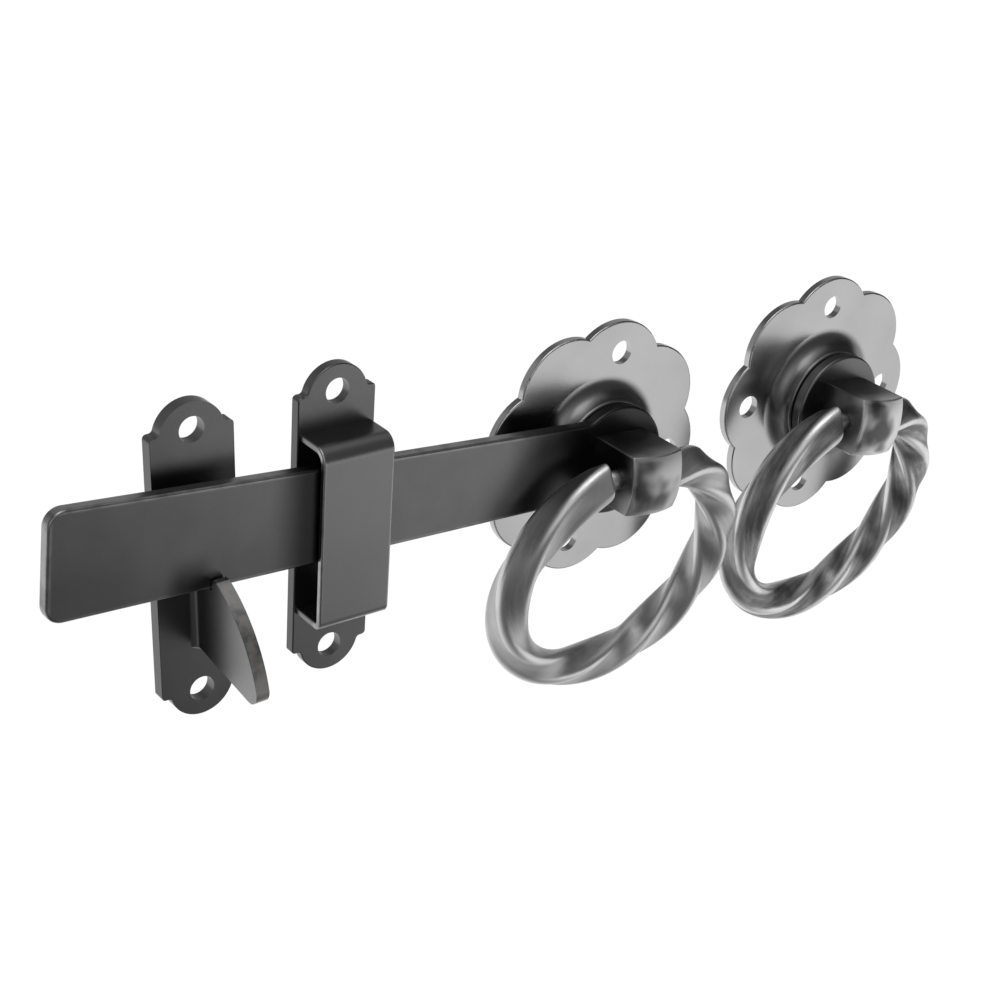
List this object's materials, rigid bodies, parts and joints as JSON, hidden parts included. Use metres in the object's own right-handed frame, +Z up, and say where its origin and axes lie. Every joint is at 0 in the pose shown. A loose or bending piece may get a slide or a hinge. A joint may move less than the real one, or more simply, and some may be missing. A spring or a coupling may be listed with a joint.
{
  "type": "ring gate latch",
  "caption": "Dark steel gate latch set with twisted ring handles on lobed roses, a long flat latch bar, a guide and a hooked keep.",
  "frame": {"origin": "on the inner spindle's axis at the gate face, the middle of the inner rose's screw circle", "axes": "+X along the latch bar towards the handles, +Y into the gate, +Z up"},
  "size_m": [0.3238, 0.0558, 0.1287],
  "materials": {
    "bar_steel": "matt black",
    "rose_steel": "satin dark grey",
    "ring_steel": "rubbed dark pewter",
    "plain_steel": "plain"
  },
  "bodies": {
    "fixed": {"keep": "bar_steel", "guide_plate": "bar_steel", "guide_strap": "bar_steel", "inner_rose": "rose_steel", "outer_rose": "rose_steel"},
    "latch": {"latch_bar": "bar_steel", "inner_hub": "ring_steel", "inner_clip": "plain_steel", "spindle": "plain_steel"},
    "inner_pull": {"inner_ring": "ring_steel"},
    "outer_handle": {"outer_hub": "ring_steel", "outer_washer": "bar_steel", "outer_clip": "plain_steel"},
    "outer_pull": {"outer_ring": "ring_steel"}
  },
  "joints": [
    {"name": "latch_lift", "type": "hinge", "parent": "fixed", "child": "latch", "pos_m": [0, 0, 0], "axis": [0, 1, 0], "range_deg": [0, 1.6]},
    {"name": "inner_ring_swing", "type": "hinge", "parent": "latch", "child": "inner_pull", "pos_m": [0, -0.0245, 0], "axis": [-0.9983, 0, 0.0584], "range_deg": [0, 205]},
    {"name": "outer_handle_turn", "type": "hinge", "parent": "fixed", "child": "outer_handle", "pos_m": [0.09532, 0, -0.0021], "axis": [0, 1, 0], "range_deg": [-1.6, 0]},
    {"name": "outer_ring_swing", "type": "hinge", "parent": "outer_handle", "child": "outer_pull", "pos_m": [0.09532, -0.0245, -0.0021], "axis": [-0.9903, 0, 0.1392], "range_deg": [0, 205]}
  ],
  "couplings": [
    {"joint": "outer_handle_turn", "follows": "latch_lift", "ratio": -1}
  ]
}
